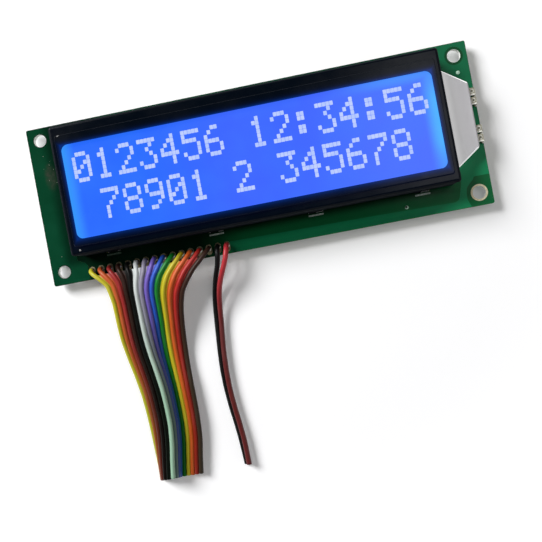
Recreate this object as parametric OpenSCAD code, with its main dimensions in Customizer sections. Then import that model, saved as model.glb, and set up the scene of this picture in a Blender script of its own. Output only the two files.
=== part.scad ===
// Two-line character display module, face up, standing on the twisted tabs of its bezel.
// Millimetres. Origin at the middle of the board's outline, on the surface the module stands on.
// +X runs along the long side, +Y to the board's upper edge, +Z out of the screen.

/* [Board] */
// Width of the circuit board
board_w = 122; // [119:0.5:135]
// Height of the circuit board
board_h = 44; // [43:0.5:56]
// Thickness of the circuit board
board_t = 1.6; // [1:0.1:2.4]
// Radius of the board's corners
board_corner_r = 0.5; // [0.2:0.1:1.5]
// Room under the board, taken up by the twisted tabs
board_stand = 2; // [1.7:0.1:4]

/* [Mounting holes] */
// Distance between the holes across the width
hole_span_x = 115; // [110:0.5:116]
// Distance between the holes across the height
hole_span_y = 37; // [35:0.5:38]
// Diameter of each mounting hole
hole_d = 3.5; // [2.5:0.1:4]
// Outer diameter of the tinned ring round the grounded hole
ring_d = 4.5; // [4.2:0.1:5.4]

/* [Bezel] */
// Width of the bezel over its walls
bezel_w = 104.2; // [103.5:0.1:106]
// Height of the bezel over its walls
bezel_h = 35; // [34.5:0.1:36]
// Height of the bezel's middle above the board's middle
bezel_y = 2.25; // [1.8:0.05:2.4]
// Sheet thickness of the bezel
sheet_t = 0.5; // [0.3:0.05:0.6]
// Rise of the shoulder above the board
shoulder_rise = 8.4; // [8:0.1:10]
// Rise of the raised front above the shoulder
front_step = 0.8; // [0.5:0.1:1.2]
// Width of the shoulder at the left and right
shoulder_side = 1.4; // [1:0.05:1.6]
// Width of the shoulder along the lower edge
shoulder_low = 2.1; // [1.6:0.1:2.3]
// Width of the shoulder along the upper edge
shoulder_up = 2.7; // [1.6:0.1:3.2]
// Run of the slope between shoulder and front
riser_run = 0.3; // [0.2:0.05:0.5]
// Radius of the folds along the bezel's outer edges
fold_r = 0.8; // [0.7:0.05:1]
// Side of the relief cut at each wall corner
corner_relief = 1.3; // [0.8:0.1:1.6]

/* [Window] */
// Width of the window
window_w = 98.6; // [94:0.2:98.8]
// Height of the window
window_h = 25.3; // [22:0.1:26]
// Height of the window's middle above the board's middle
window_y = 1.5; // [1.2:0.05:2]
// Corner radius of the window
window_r = 1.8; // [1:0.1:3]

/* [Tabs] */
// Width of each bezel tab
tab_w = 3.6; // [2.5:0.1:4.5]
// Distance from the middle to the inner tabs
tab_inner_x = 13.8; // [9:0.2:18]
// Distance from the middle to the outer tabs
tab_outer_x = 42.8; // [36:0.2:45]
// Twist of the tabs under the board in degrees
tab_twist = 30; // [10:5:45]
// Play of a tab in its slot
tab_play = 0.25; // [0.2:0.05:0.6]
// Room of a slot outside the wall
slot_room = 0.3; // [0.2:0.1:1.2]

/* [Glass cell] */
// Thickness of each glass plate
glass_t = 1.1; // [0.7:0.1:1.3]
// Play between the glass and the bezel's fold
glass_play = 0.15; // [0.05:0.05:0.3]
// Depth of the contact ledges of the front glass
ledge = 2.2; // [2:0.1:2.5]
// Thickness of the polarizer and diffuser films
film_t = 0.2; // [0.1:0.05:0.3]
// Lap of the front polarizer behind the window's edge
film_lap = 0.3; // [0.1:0.05:0.4]
// Width of the elastomer contact strips
zebra_w = 1.8; // [1.2:0.1:1.9]
// Length of the elastomer contact strips
zebra_len = 96; // [60:1:100]

/* [Backlight] */
// Height of the active area's middle above the board's middle
display_y = 1.55; // [1.3:0.05:1.9]
// Thickness of the light guide
guide_t = 3.5; // [2.6:0.1:3.8]
// Wall thickness of the housing
tray_wall = 0.8; // [0.5:0.05:1.2]
// Reach of the ear beyond the bezel
ear_len = 6.9; // [5:0.1:7.4]
// Height of the ear above the board
ear_rise = 4; // [3.8:0.1:4.6]
// Distance of the ear's root from the housing's lower side
ear_root = 0.1; // [0:0.1:2.4]
// Half height of the ear at its tip
ear_tip = 9; // [8.4:0.1:10]
// Radius of the ear's tip corners
ear_r = 1; // [0.4:0.1:2]
// Bevel along the ear's top edge
ear_bevel = 0.3; // [0.1:0.05:0.6]
// Width of each terminal prong
prong_w = 2; // [1.2:0.1:2.2]
// Thickness of the terminals
prong_t = 0.4; // [0.2:0.05:0.5]
// Gap between the two prongs of a terminal
prong_gap = 0.45; // [0.3:0.05:1]
// Distance from the display's middle to each terminal
terminal_y = 4.95; // [3:0.05:5.6]
// Height of the terminals above the board
terminal_rise = 2.8; // [1.2:0.1:3.2]
// Distance of the terminals from the board's edge
terminal_inset = 0.4; // [0.3:0.05:0.8]

/* [Header] */
// Distance between pads
pin_pitch = 2.54; // [2.2:0.02:2.6]
// Distance of the first pad from the board's left edge
pin_first = 11.35; // [10:0.05:12]
// Distance of the plated holes from the board's lower edge
pin_edge = 2.4; // [2.2:0.1:3]
// Width of each oblong pad
pad_w = 1.7; // [1.4:0.1:1.9]
// Length of each oblong pad
pad_len = 2.9; // [2:0.1:3.4]
// Diameter of the plated holes
pin_hole_d = 0.9; // [0.6:0.05:1]

/* [Rear parts] */
// Diameter of the controller's epoxy dome
controller_d = 15; // [10:0.5:18]
// Diameter of the driver's epoxy dome
driver_d = 13; // [9:0.5:16]
// Height of the epoxy domes
dome_h = 1.4; // [0.8:0.1:1.5]
// Distance of each dome from the board's middle
dome_x = 21; // [18:0.5:28]
// Length of a chip part
chip_len = 2; // [1.6:0.1:2.5]
// Width of a chip part
chip_w = 1.25; // [0.8:0.05:1.4]
// Height of a chip part
chip_h = 0.6; // [0.4:0.05:0.9]
// Distance of the two chip rows from the board's middle
chip_x = 36; // [33:0.5:39]
// Height of the chip rows' middle above the board's middle
chip_y = -2; // [-4:0.5:4]
// Distance between the resistors in their row
chip_step = 3; // [2:0.1:4]

/* [Wires] */
// Diameter of each ribbon wire
ribbon_d = 1.25; // [0.9:0.01:1.26]
// Diameter of the two wires of the separate pair
pair_d = 1.4; // [1.1:0.01:1.42]

/* [Hidden] */

fine = 48;
coarse = 32;
eps = 0.01;

// Heights of the stack, from the surface the module stands on
board_top = board_stand + board_t;
shoulder_z = board_top + shoulder_rise;
front_z = shoulder_z + front_step;
cell_top = shoulder_z - sheet_t;
cell_mid = cell_top - glass_t;
cell_bottom = cell_mid - glass_t;
rear_film_z = cell_bottom - film_t;
diffuser_z = rear_film_z - film_t;
guide_z = diffuser_z - guide_t;
reflector_z = guide_z - film_t;

// Plan of the bezel and of the cell inside it
bezel_x1 = bezel_w / 2;
wall_rise = shoulder_rise - fold_r;
bezel_low = bezel_y - bezel_h / 2;
bezel_high = bezel_y + bezel_h / 2;
front_half_w = bezel_w / 2 - shoulder_side;
front_low = bezel_low + shoulder_low;
front_high = bezel_high - shoulder_up;
inset = fold_r + glass_play;
cell_half_w = bezel_w / 2 - inset;
cell_low = bezel_low + inset;
cell_high = bezel_high - inset;
rear_low = cell_low + ledge;
rear_high = cell_high - ledge;
zebra_room = (ledge - zebra_w) / 2;

// Plan of the backlight
tray_play = 0.15;
ear_x = bezel_x1 + ear_len;
ear_z = board_top + ear_rise;
ear_half = display_y - rear_low - tray_play - ear_root;
lamp_t = 1;
lamp_len = 20;
lamp_h = 1.5;
lamp_lift = 0.2;
led_count = 4;
led_w = 3;
led_depth = 1.2;
guide_half_w = cell_half_w - tray_wall - tray_play;
guide_low = rear_low + tray_wall + tray_play;
guide_high = rear_high - tray_wall - tray_play;
lamp_z = guide_z + lamp_lift;
led_x = guide_half_w + tray_play;
lamp_x = led_x + led_depth;
terminal_clear = 0.8;
terminal_x = max(board_w / 2 - terminal_inset, ear_x + terminal_clear);
terminal_end = terminal_x + terminal_inset;
terminal_z = board_top + terminal_rise;
terminal_bury = 1.2;
terminal_play = 0.12;
prong_step = prong_w + prong_gap;
prong_ys = [for (side = [-1, 1], half = [-0.5, 0.5]) display_y + side * terminal_y + half * prong_step];

// Connection row
pins = 16;
pin_y = pin_edge - board_h / 2;
pin_x0 = pin_first - board_w / 2;
plating = 0.1;
foil = 0.05;
pad_shift = 0.35;
rear_pad_d = 1.7;
solder_rise = 0.45;
solder_drop = 0.9;
solder_tip_d = 0.5;
solder_edge = 0.15;

tab_xs = [-tab_outer_x, -tab_inner_x, tab_inner_x, tab_outer_x];
slot_w = tab_w + 2 * tab_play;

// Ribbon stations from the pads to the cut end: place along Y, then X and Z of the sixth wire, which is
// the crown, then spacing and curl of the wires left of it, spacing and fall of the next four to the right,
// and spacing and slope of the last four. Angles in degrees, downwards from the crown.
crown = 5;
fall_share = [0.8, 1, 1.1, 0.4];
station_lean = 0.2;
ribbon_route = [
    [-19.6, -36.95, 4.1, 2.54, 0, 2.54, 0, 2.54, 0],
    [-19.6, -36.95, 4.8, 2.54, 0, 2.54, 0, 2.54, 0],
    [-20.1, -36.93, 5.8, 2.5, 0, 2.46, 0, 2.54, 0],
    [-21.1, -36.8, 6.6, 2.34, 0, 2.22, 0, 2.53, 0],
    [-22.6, -36.75, 7, 2.04, 0, 1.88, 0, 2.46, 0],
    [-24.4, -37.2, 7.1, 1.65, 0, 1.63, 0, 2.33, 0],
    [-26.2, -37.6, 7.1, 1.46, 0, 1.5, 0, 2.18, 0],
    [-28, -37.8, 7, 1.36, 0, 1.4, 3, 1.97, 0],
    [-30, -37.9, 6.7, 1.3, 0, 1.34, 6, 1.75, 0],
    [-33, -37.98, 6.3, 1.29, 2, 1.32, 15, 1.55, 0],
    [-36, -38.02, 6, 1.29, 5, 1.32, 25, 1.45, 0],
    [-40, -38, 5.6, 1.29, 13, 1.32, 40, 1.42, 0],
    [-45, -37.6, 5.2, 1.29, 25, 1.29, 52, 1.37, 0],
    [-50, -36.85, 5.1, 1.29, 32, 1.28, 62, 1.3, -6],
    [-55, -36.2, 5.1, 1.28, 36, 1.28, 68, 1.28, -14],
    [-60, -35.9, 5.1, 1.28, 41, 1.28, 71, 1.28, -16],
    [-65, -35.85, 5.1, 1.28, 47, 1.28, 72, 1.28, -18],
    [-70, -36.3, 5.1, 1.29, 61, 1.29, 73, 1.29, -16],
    [-75, -37.1, 5.1, 1.29, 80, 1.29, 74, 1.29, -15],
    [-79.6, -37.75, 5.1, 1.29, 95, 1.29, 76, 1.29, -13]
];
black_route = [
    [-14.09, -19.6, 4.1], [-14.09, -19.6, 4.8], [-14.12, -20.1, 5.7], [-14.2, -21.2, 6.3],
    [-14.45, -22.8, 6.3], [-14.95, -24.8, 5.8], [-15.95, -27.2, 4.7], [-16.85, -29.8, 3.3],
    [-17.7, -33, 1.95], [-18.22, -36, 1.15], [-18.65, -40, 0.77], [-19.03, -44.5, 0.74],
    [-19.36, -49, 0.74], [-19.54, -54, 0.74], [-19.42, -59, 0.74], [-19, -64, 0.74], [-18.42, -69, 0.74],
    [-17.97, -74, 0.74], [-17.66, -80, 0.74]
];
red_route = [
    [-11.55, -19.6, 4.1], [-11.55, -19.6, 4.8], [-11.6, -20.1, 5.9], [-11.8, -21.3, 6.7],
    [-12.25, -23, 6.9], [-13.1, -25, 6.6], [-14.3, -27.4, 5.8], [-15.42, -30, 4.7], [-16.26, -33, 3.4],
    [-16.8, -36, 2.3], [-17.28, -40, 1.62], [-17.78, -44.5, 1.56], [-18.16, -49, 1.6],
    [-18.38, -54, 1.66], [-18.32, -59, 1.73], [-17.93, -64, 1.78], [-17.4, -69, 1.84], [-17, -74, 1.9],
    [-16.9, -80, 2.02]
];

// Path helpers
wire_sides = 8;
function unit(v) = v / norm(v);
function sum(v, i = 0) = i < len(v) ? v[i] + sum(v, i + 1) : 0;
function tangent(path, i) = unit(path[min(i + 1, len(path) - 1)] - path[max(i - 1, 0)]);
function ring(path, i, r) =
    let (t = tangent(path, i), v = unit(cross(t, [1, 0, 0])), u = cross(v, t))
    [for (s = [0:wire_sides - 1])
        path[i] + r * (cos(360 * s / wire_sides) * u + sin(360 * s / wire_sides) * v)];

// Angle and spacing of each gap between wires at one station, counted from the crown
function left_gap(j, row) = [row[3], row[4] * (j - 0.5) / crown];
function right_gap(j, row) =
    j <= len(fall_share) ? [row[5], row[6] * fall_share[j - 1]] : [row[7], row[8]];
function gap(k, j, row) = k < crown ? left_gap(j, row) : right_gap(j, row);
function ribbon_point(k, row) =
    let (
        steps = [for (j = [1:1:abs(k - crown)]) gap(k, j, row)],
        run = sum([for (step = steps) step[0] * cos(step[1])]),
        drop = sum([for (step = steps) step[0] * sin(step[1])])
    )
    [row[1] + sign(k - crown) * run, row[0] - station_lean * drop, row[2] - drop];
function ribbon_path(k) = [for (row = ribbon_route) ribbon_point(k, row)];

// Plane shapes that several pieces share
module rounded_rect(w, h, r) {
    square([w - 2 * r, h], center = true);
    square([w, h - 2 * r], center = true);
    for (x = [-1, 1], y = [-1, 1]) {
        translate([x * (w / 2 - r), y * (h / 2 - r)])
            circle(r, $fn = fine);
    }
}

module oblong(w, h) {
    square([w, h - w], center = true);
    for (y = [-1, 1]) {
        translate([0, y * (h - w) / 2])
            circle(d = w, $fn = fine);
    }
}

// Block between two X and two Y limits, from one height to another
module block(x0, x1, y0, y1, z0, z1) {
    translate([x0, y0, z0])
        cube([x1 - x0, y1 - y0, z1 - z0]);
}

module at_pins() {
    for (i = [0:pins - 1]) {
        translate([pin_x0 + i * pin_pitch, pin_y, 0])
            children();
    }
}

module at_mount_holes() {
    for (x = [-1, 1], y = [-1, 1]) {
        translate([x * hole_span_x / 2, y * hole_span_y / 2, 0])
            children();
    }
}

// Circuit board with its mounting holes, tab slots, drillings of the plated holes and edge notches
module board() {
    color("darkgreen")
        difference() {
            translate([0, 0, board_stand])
                linear_extrude(board_t)
                    rounded_rect(board_w, board_h, board_corner_r);
            at_mount_holes()
                cylinder(d = hole_d, h = board_top + eps, $fn = fine);
            at_pins()
                cylinder(d = pin_hole_d + 2 * plating, h = board_top + eps, $fn = fine);
            for (x = tab_xs) {
                block(x - slot_w / 2, x + slot_w / 2, bezel_low - slot_room, bezel_low + sheet_t + tab_play,
                      0, board_top + eps);
                block(x - slot_w / 2, x + slot_w / 2,
                      bezel_high - sheet_t - tab_play, bezel_high + slot_room, 0, board_top + eps);
            }
            for (y = prong_ys) {
                block(terminal_x - prong_t / 2 - terminal_play, terminal_end + eps,
                      y - prong_w / 2 - terminal_play, y + prong_w / 2 + terminal_play, 0, board_top + eps);
            }
        }
}

// Tinned ring round the grounded mounting hole
module ground_ring() {
    color("silver")
        translate([hole_span_x / 2, -hole_span_y / 2, board_top])
            difference() {
                cylinder(d = ring_d, h = foil, $fn = fine);
                translate([0, 0, -eps])
                    cylinder(d = hole_d, h = foil + 2 * eps, $fn = fine);
            }
}

// Plated holes: oblong pad in front, barrel through the board, round pad behind
module header_pads() {
    color("lightgrey")
        at_pins()
            difference() {
                union() {
                    translate([0, -pad_shift, board_top])
                        linear_extrude(foil)
                            oblong(pad_w, pad_len);
                    translate([0, 0, board_stand - foil])
                        cylinder(d = rear_pad_d, h = foil, $fn = fine);
                    translate([0, 0, board_stand - foil])
                        cylinder(d = pin_hole_d + 2 * plating, h = board_t + 2 * foil, $fn = fine);
                }
                cylinder(d = pin_hole_d, h = board_top + 1, $fn = fine);
            }
}

// Solder of one joint: the filled hole, a low collar in front and a cone round the clipped strands behind
module header_solder() {
    front = board_top + foil;
    rear = board_stand - foil;
    color("gainsboro")
        at_pins()
            rotate_extrude($fn = fine)
                polygon([
                    [0, rear - solder_drop], [solder_tip_d / 2, rear - solder_drop],
                    [solder_tip_d / 2 + solder_edge, rear - solder_drop / 2],
                    [rear_pad_d / 2 - solder_edge, rear],
                    [pin_hole_d / 2, rear], [pin_hole_d / 2, front], [pad_w / 2 - solder_edge, front],
                    [ribbon_d / 2 - solder_edge, front + solder_rise / 2],
                    [ribbon_d / 2 - solder_edge, front + solder_rise], [0, front + solder_rise]
                ]);
}

// Lower part of the bezel, with rounded upper folds; shrink draws the space inside the sheet
module shoulder_form(shrink) {
    r = max(fold_r - shrink, 0.1);
    hull()
        for (x = [-1, 1], y = [-1, 1]) {
            translate([x * (bezel_w / 2 - shrink - r), bezel_y + y * (bezel_h / 2 - shrink - r), 0]) {
                translate([0, 0, shoulder_z - shrink - r])
                    rotate_extrude($fn = coarse)
                        intersection() {
                            circle(r, $fn = coarse);
                            square(r);
                        }
                translate([0, 0, board_top - shrink])
                    cylinder(r = r, h = eps, $fn = coarse);
            }
        }
}

// Raised front of the bezel with its sloped riser
module front_form(shrink) {
    half_w = front_half_w - shrink;
    low = front_low + shrink;
    high = front_high - shrink;
    hull() {
        translate([0, (low + high) / 2, shoulder_z - shrink - fold_r])
            linear_extrude(fold_r)
                rounded_rect(2 * half_w, high - low, fold_r);
        translate([0, (low + high) / 2, front_z - shrink - eps])
            linear_extrude(eps)
                rounded_rect(2 * (half_w - riser_run), high - low - 2 * riser_run, fold_r);
    }
}

// One tab of the lower wall: straight through the board, twisted below it
module tab() {
    wall_mid = bezel_low + sheet_t / 2;
    translate([0, wall_mid, board_stand]) {
        translate([-tab_w / 2, -sheet_t / 2, 0])
            cube([tab_w, sheet_t, board_t + fold_r]);
        rotate([180, 0, 0])
            linear_extrude(board_stand, twist = tab_twist, slices = 6)
                square([tab_w, sheet_t], center = true);
    }
}

// Stamped bezel: shoulder, raised front, window, walls with open corners, ear gap and eight tabs
module bezel() {
    color([0.12, 0.13, 0.15])
        difference() {
            union() {
                difference() {
                    union() {
                        shoulder_form(0);
                        front_form(0);
                    }
                    shoulder_form(sheet_t);
                    front_form(sheet_t);
                    translate([0, window_y, shoulder_z - fold_r])
                        linear_extrude(front_step + 2 * fold_r)
                            rounded_rect(window_w, window_h, window_r);
                }
                for (x = tab_xs) {
                    translate([x, 0, 0])
                        tab();
                    translate([x, 2 * bezel_y, 0])
                        mirror([0, 1, 0])
                            tab();
                }
            }
            for (x = [-1, 1], y = [-1, 1]) {
                translate([x * bezel_w / 2, bezel_y + y * bezel_h / 2, board_top + wall_rise / 2])
                    cube([corner_relief * 2, corner_relief * 2, wall_rise + 2 * eps], center = true);
            }
            block(cell_half_w, bezel_x1 + eps,
                  display_y - ear_half - tray_play, display_y + ear_half + tray_play,
                  board_top - eps, ear_z + tray_play);
        }
}

// Front polarizer film on the glass, a little larger than the window
module front_polarizer() {
    color([0.25, 0.42, 1])
        translate([0, window_y, cell_top])
            linear_extrude(film_t)
                square([window_w + 2 * film_lap, window_h + 2 * film_lap], center = true);
}

// Front plate of the cell, with contact ledges that reach past the rear plate
module front_glass() {
    color([0.75, 0.85, 1, 0.5])
        block(-cell_half_w, cell_half_w, cell_low, cell_high, cell_mid, cell_top);
}

// Rear plate of the cell
module rear_glass() {
    color([0.75, 0.85, 1, 0.5])
        block(-cell_half_w, cell_half_w, rear_low, rear_high, cell_bottom, cell_mid);
}

// Film under the cell, inside the housing's rim
module rear_polarizer() {
    color([0.3, 0.45, 0.9])
        block(-guide_half_w, guide_half_w, guide_low, guide_high, rear_film_z, cell_bottom);
}

// Diffuser on the light guide
module diffuser_film() {
    color("white")
        block(-guide_half_w, guide_half_w, guide_low, guide_high, diffuser_z, rear_film_z);
}

// Clear plate that spreads the light of the lamp strip
module light_guide() {
    color([0.9, 0.95, 1, 0.6])
        block(-guide_half_w, guide_half_w, guide_low, guide_high, guide_z, diffuser_z);
}

// Mirror film under the light guide
module reflector_film() {
    color("whitesmoke")
        block(-guide_half_w, guide_half_w, guide_low, guide_high, reflector_z, guide_z);
}

// Outline of the ear, drawn in by a margin
module ear_outline(margin) {
    tip_r = max(ear_r - margin, 0.1);
    hull() {
        translate([cell_half_w - tray_wall, display_y - ear_half + margin])
            square([bezel_x1 - cell_half_w + tray_wall, 2 * (ear_half - margin)]);
        for (y = [-1, 1]) {
            translate([ear_x - margin - tip_r, display_y + y * (ear_tip - margin - tip_r)])
                circle(tip_r, $fn = coarse);
        }
    }
}

// Moulded tray of the backlight with its ear, the room for the guide and the pocket of the lamp strip
module backlight_housing() {
    color("lightgrey")
        difference() {
            union() {
                block(-cell_half_w, cell_half_w, rear_low + tray_play, rear_high - tray_play,
                      board_top, cell_bottom);
                translate([0, 0, board_top])
                    linear_extrude(ear_rise - ear_bevel)
                        ear_outline(0);
                hull() {
                    translate([0, 0, ear_z - ear_bevel - eps])
                        linear_extrude(eps)
                            ear_outline(0);
                    translate([0, 0, ear_z - eps])
                        linear_extrude(eps)
                            ear_outline(ear_bevel);
                }
            }
            block(-guide_half_w, guide_half_w, guide_low, guide_high, reflector_z, cell_bottom + 1);
            block(guide_half_w - eps, lamp_x + lamp_t, display_y - lamp_len / 2, display_y + lamp_len / 2,
                  lamp_z, lamp_z + lamp_h);
            for (y = prong_ys) {
                block(ear_x - terminal_bury, ear_x + 1, y - prong_w / 2, y + prong_w / 2,
                      terminal_z - prong_t, terminal_z);
            }
        }
}

// Strip that carries the lamps, upright in the ear
module led_board() {
    color("ivory")
        block(lamp_x, lamp_x + lamp_t, display_y - lamp_len / 2, display_y + lamp_len / 2,
              lamp_z, lamp_z + lamp_h);
}

// Lamps that shine into the guide's end, each with a shallow cup in its face
module leds() {
    pitch = lamp_len / led_count;
    cup = 0.3;
    rim = 0.25;
    color("lightyellow")
        for (i = [0:led_count - 1]) {
            y = display_y + (i - (led_count - 1) / 2) * pitch;
            difference() {
                block(led_x, lamp_x, y - led_w / 2, y + led_w / 2, lamp_z, lamp_z + lamp_h);
                block(led_x - eps, led_x + cup, y - led_w / 2 + rim, y + led_w / 2 - rim,
                      lamp_z + rim, lamp_z + lamp_h - rim);
            }
        }
}

// Bent prong from the ear's side down through the board, drawn in the XZ plane
module prong_profile() {
    bend = prong_t * 1.5;
    foot_len = 0.8;
    x0 = ear_x - terminal_bury;
    foot = board_stand - foot_len;
    corner = [terminal_x + prong_t / 2 - bend, terminal_z - bend];
    translate([x0, terminal_z - prong_t])
        square([corner[0] - x0, prong_t]);
    translate([terminal_x - prong_t / 2, foot])
        square([prong_t, corner[1] - foot]);
    translate(corner)
        intersection() {
            difference() {
                circle(bend, $fn = fine);
                circle(bend - prong_t, $fn = fine);
            }
            square(bend);
        }
}

// Two pairs of tinned terminals of the backlight
module backlight_leads() {
    color("tan")
        for (y = prong_ys) {
            translate([0, y + prong_w / 2, 0])
                rotate([90, 0, 0])
                    linear_extrude(prong_w)
                        prong_profile();
        }
}

// Solder of the terminals behind the board, from the inside of each notch to the board's edge
module lead_solder() {
    drop = 0.5;
    spread = 0.5;
    x0 = terminal_x - prong_t / 2 - spread;
    x1 = terminal_end;
    color("gainsboro")
        for (y = prong_ys) {
            difference() {
                translate([(x0 + x1) / 2, y, board_stand - drop])
                    linear_extrude(drop)
                        rounded_rect(x1 - x0, prong_w + 2 * terminal_play, (x1 - x0) / 4);
                block(terminal_x - prong_t / 2, terminal_x + prong_t / 2, y - prong_w / 2, y + prong_w / 2,
                      0, board_top);
            }
        }
}

// Elastomer strips between the glass ledges and the board
module zebra(low) {
    color("dimgray")
        block(-zebra_len / 2, zebra_len / 2, low, low + zebra_w, board_top, cell_mid);
}

module zebra_upper() {
    zebra(rear_high + zebra_room);
}

module zebra_lower() {
    zebra(cell_low + zebra_room);
}

// Epoxy dome over a bare chip on the rear of the board
module dome(x, d) {
    bulge_r = (d * d / 4 + dome_h * dome_h) / (2 * dome_h);
    color([0.08, 0.08, 0.09])
        translate([x, display_y, board_stand])
            rotate([180, 0, 0])
                rotate_extrude($fn = fine)
                    intersection() {
                        translate([0, dome_h - bulge_r])
                            circle(bulge_r, $fn = 4 * fine);
                        square([d, dome_h]);
                    }
}

module controller_blob() {
    dome(-dome_x, controller_d);
}

module driver_blob() {
    dome(dome_x, driver_d);
}

// Chip part on the rear: body with end caps that stand a little proud
module chip(x, y) {
    cap = chip_len / 5;
    skin = 0.04;
    translate([x, y, board_stand]) {
        translate([-chip_len / 2 + cap / 2, -chip_w / 2 + skin, skin - chip_h])
            cube([chip_len - cap, chip_w - 2 * skin, chip_h - skin]);
        for (side = [-1, 1]) {
            translate([side * (chip_len - cap) / 2 - cap / 2, -chip_w / 2, -chip_h])
                cube([cap, chip_w, chip_h]);
        }
    }
}

module smd_resistors() {
    color([0.1, 0.1, 0.1])
        for (i = [-2:2]) {
            chip(-chip_x, chip_y + i * chip_step);
        }
}

module smd_capacitors() {
    color("tan")
        for (i = [-1, 1]) {
            chip(chip_x, chip_y + i * chip_step);
        }
}

// Insulated wire along a path
module wire(path, d) {
    n = len(path);
    points = [for (i = [0:n - 1]) each ring(path, i, d / 2)];
    walls = [for (i = [0:n - 2], s = [0:wire_sides - 1])
        let (a = i * wire_sides, next = (s + 1) % wire_sides)
        [a + s, a + next, a + wire_sides + next, a + wire_sides + s]];
    start_cap = [[for (s = [wire_sides - 1:-1:0]) s]];
    end_cap = [[for (s = [0:wire_sides - 1]) (n - 1) * wire_sides + s]];
    polyhedron(points, concat(walls, start_cap, end_cap), convexity = 6);
}

module wire_01_yellow() { color("gold") wire(ribbon_path(0), ribbon_d); }
module wire_02_orange() { color("orangered") wire(ribbon_path(1), ribbon_d); }
module wire_03_red() { color("crimson") wire(ribbon_path(2), ribbon_d); }
module wire_04_brown() { color("saddlebrown") wire(ribbon_path(3), ribbon_d); }
module wire_05_black() { color("black") wire(ribbon_path(4), ribbon_d); }
module wire_06_white() { color("white") wire(ribbon_path(5), ribbon_d); }
module wire_07_grey() { color("gray") wire(ribbon_path(6), ribbon_d); }
module wire_08_violet() { color("mediumpurple") wire(ribbon_path(7), ribbon_d); }
module wire_09_blue() { color("royalblue") wire(ribbon_path(8), ribbon_d); }
module wire_10_green() { color("green") wire(ribbon_path(9), ribbon_d); }
module wire_11_yellow() { color("gold") wire(ribbon_path(10), ribbon_d); }
module wire_12_orange() { color("orangered") wire(ribbon_path(11), ribbon_d); }
module wire_13_red() { color("crimson") wire(ribbon_path(12), ribbon_d); }
module wire_14_brown() { color("saddlebrown") wire(ribbon_path(13), ribbon_d); }
module wire_15_black() { color("black") wire(black_route, pair_d); }
module wire_16_red() { color("crimson") wire(red_route, pair_d); }

board();
ground_ring();
header_pads();
header_solder();
bezel();
front_polarizer();
front_glass();
rear_glass();
rear_polarizer();
diffuser_film();
light_guide();
reflector_film();
backlight_housing();
led_board();
leds();
backlight_leads();
lead_solder();
zebra_upper();
zebra_lower();
controller_blob();
driver_blob();
smd_resistors();
smd_capacitors();
wire_01_yellow();
wire_02_orange();
wire_03_red();
wire_04_brown();
wire_05_black();
wire_06_white();
wire_07_grey();
wire_08_violet();
wire_09_blue();
wire_10_green();
wire_11_yellow();
wire_12_orange();
wire_13_red();
wire_14_brown();
wire_15_black();
wire_16_red();
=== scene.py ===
"""Looks of a two-line character display module with its cut-off lead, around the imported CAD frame.

Every piece is in metres in the CAD's own frame: +X along the module, +Y to its upper edge, +Z out of the screen.
Sizes and places in the classes below are in millimetres, unless they say otherwise.
"""

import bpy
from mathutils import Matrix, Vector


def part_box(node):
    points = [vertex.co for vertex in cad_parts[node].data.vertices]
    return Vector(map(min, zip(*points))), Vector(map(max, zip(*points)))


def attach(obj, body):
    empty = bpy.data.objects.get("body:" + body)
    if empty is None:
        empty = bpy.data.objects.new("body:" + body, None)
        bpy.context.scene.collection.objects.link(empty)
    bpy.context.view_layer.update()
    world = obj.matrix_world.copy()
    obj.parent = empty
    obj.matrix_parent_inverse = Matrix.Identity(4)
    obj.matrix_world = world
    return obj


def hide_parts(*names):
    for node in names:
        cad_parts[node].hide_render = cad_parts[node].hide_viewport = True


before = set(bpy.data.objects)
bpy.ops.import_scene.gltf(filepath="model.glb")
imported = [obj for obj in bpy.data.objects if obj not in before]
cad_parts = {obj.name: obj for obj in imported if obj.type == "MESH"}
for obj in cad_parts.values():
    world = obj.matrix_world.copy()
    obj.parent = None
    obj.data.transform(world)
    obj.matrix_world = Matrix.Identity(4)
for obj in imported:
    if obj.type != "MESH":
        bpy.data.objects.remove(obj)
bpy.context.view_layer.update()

import logging
import math
from dataclasses import dataclass, field
from enum import Enum
from typing import Iterable, Sequence

import bmesh
import bpy
from mathutils import Matrix, Vector

Colour = tuple[float, float, float]
Span = tuple[float, float]
Point2 = tuple[float, float]
Point3 = tuple[float, float, float]
Row = tuple[float, ...]
Socket = bpy.types.NodeSocket
Material = bpy.types.Material

LOG = logging.getLogger("display")
MM = 0.001
WHITE: Colour = (1.0, 1.0, 1.0)
EVEN: Point3 = (1, 1, 1)
# Parts of a noise's range over which it turns from low to high, softly or clearly.
SOFT: Span = (0.3, 0.7)
CLEAR: Span = (0.35, 0.65)


class Level(float, Enum):
    """Heights of the module's main faces above the table."""

    BOARD_FRONT = 3.6
    FILM = 11.7


class Slot(str, Enum):
    """Names of material slots in the record; nothing in this script uses them."""

    MASK = "solder_mask"
    TIN = "tin"
    SCREEN = "screen"
    WEB = "wire_grey"


class WirePart(int, Enum):
    """Materials of one wire, in the order of its slots."""

    SKIN = 0
    TIN = 1
    CORE = 2


def rgb(red: int, green: int, blue: int) -> Colour:
    """Turn display values from 0 to 255 into the linear values that shaders take.

    Args:
        red, green, blue: The colour as a display shows it.

    Returns:
        The same colour in linear light.
    """
    def one(value: int) -> float:
        """Linear value of one channel."""
        share = value / 255
        return share / 12.92 if share <= 0.04045 else ((share + 0.055) / 1.055) ** 2.4
    return one(red), one(green), one(blue)


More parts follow.
